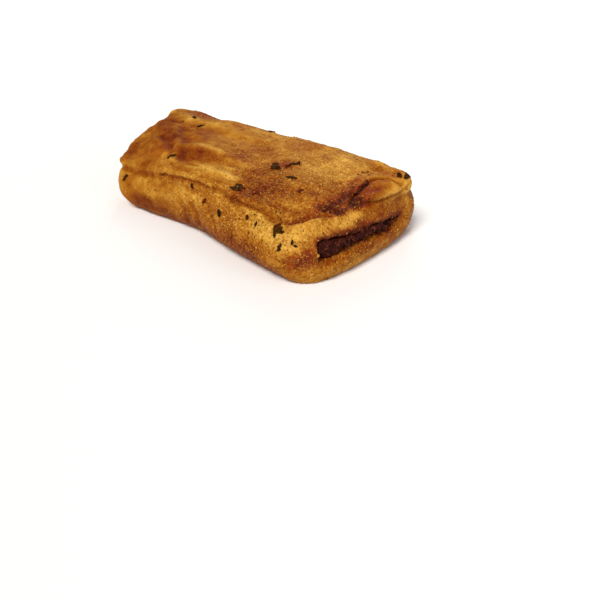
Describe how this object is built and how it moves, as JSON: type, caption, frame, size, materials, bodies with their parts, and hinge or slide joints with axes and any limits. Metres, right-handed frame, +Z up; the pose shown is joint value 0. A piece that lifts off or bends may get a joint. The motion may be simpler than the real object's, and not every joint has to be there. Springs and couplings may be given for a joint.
{
  "type": "savoury filled pastry",
  "caption": "Flat folded savoury pastry of crumbed fried dough, with a dark filling showing between its layers at both ends.",
  "frame": {"origin": "under the middle of the pastry, on the surface it lies on", "axes": "+X along the pastry towards its open end, +Y towards its folded back side, +Z up"},
  "size_m": [0.1298, 0.0764, 0.0288],
  "materials": {
    "dough": "crumbed, fried golden brown",
    "filling": "dark, fibrous and moist"
  },
  "bodies": {
    "root": {"dough": "dough", "filling_lower": "filling", "filling_upper": "filling"}
  },
  "joints": []
}
